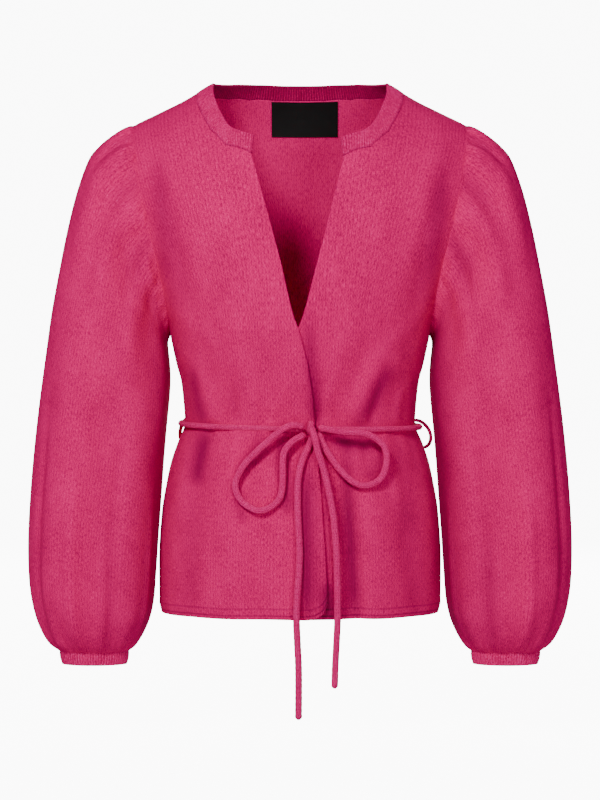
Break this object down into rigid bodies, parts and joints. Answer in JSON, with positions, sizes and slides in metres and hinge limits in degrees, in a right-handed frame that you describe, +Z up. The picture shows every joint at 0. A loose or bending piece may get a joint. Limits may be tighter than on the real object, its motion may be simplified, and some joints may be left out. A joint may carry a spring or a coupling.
{
  "type": "knitted wrap cardigan with balloon sleeves",
  "caption": "Hip-length knitted wrap cardigan with a ribbed neckband, gathered balloon sleeves and a tie belt, hollow as if worn.",
  "frame": {"origin": "between the shoulders, level with the top of the neckband at its sides, where the wearer's neck and shoulders hold the garment up", "axes": "+Z up, -Y out of the fronts, +X to the wearer's left"},
  "size_m": [0.6082, 0.2592, 0.7075],
  "materials": {
    "knit": "brushed stockinette knit",
    "rib": "fine one by one rib knit",
    "belt": "knitted tubular cord",
    "label": "plain black woven satin"
  },
  "bodies": {
    "root": {"right_front": "knit", "left_front": "knit", "back": "knit", "neckband": "rib", "sleeve_right": "knit", "sleeve_left": "knit", "cuff_right": "rib", "cuff_left": "rib", "belt_waist": "belt", "belt_knot": "belt", "bow_loop_right": "belt", "bow_loop_left": "belt", "belt_end_long": "belt", "belt_end_short": "belt", "belt_loop_right": "belt", "belt_loop_left": "belt", "label": "label"}
  },
  "joints": []
}
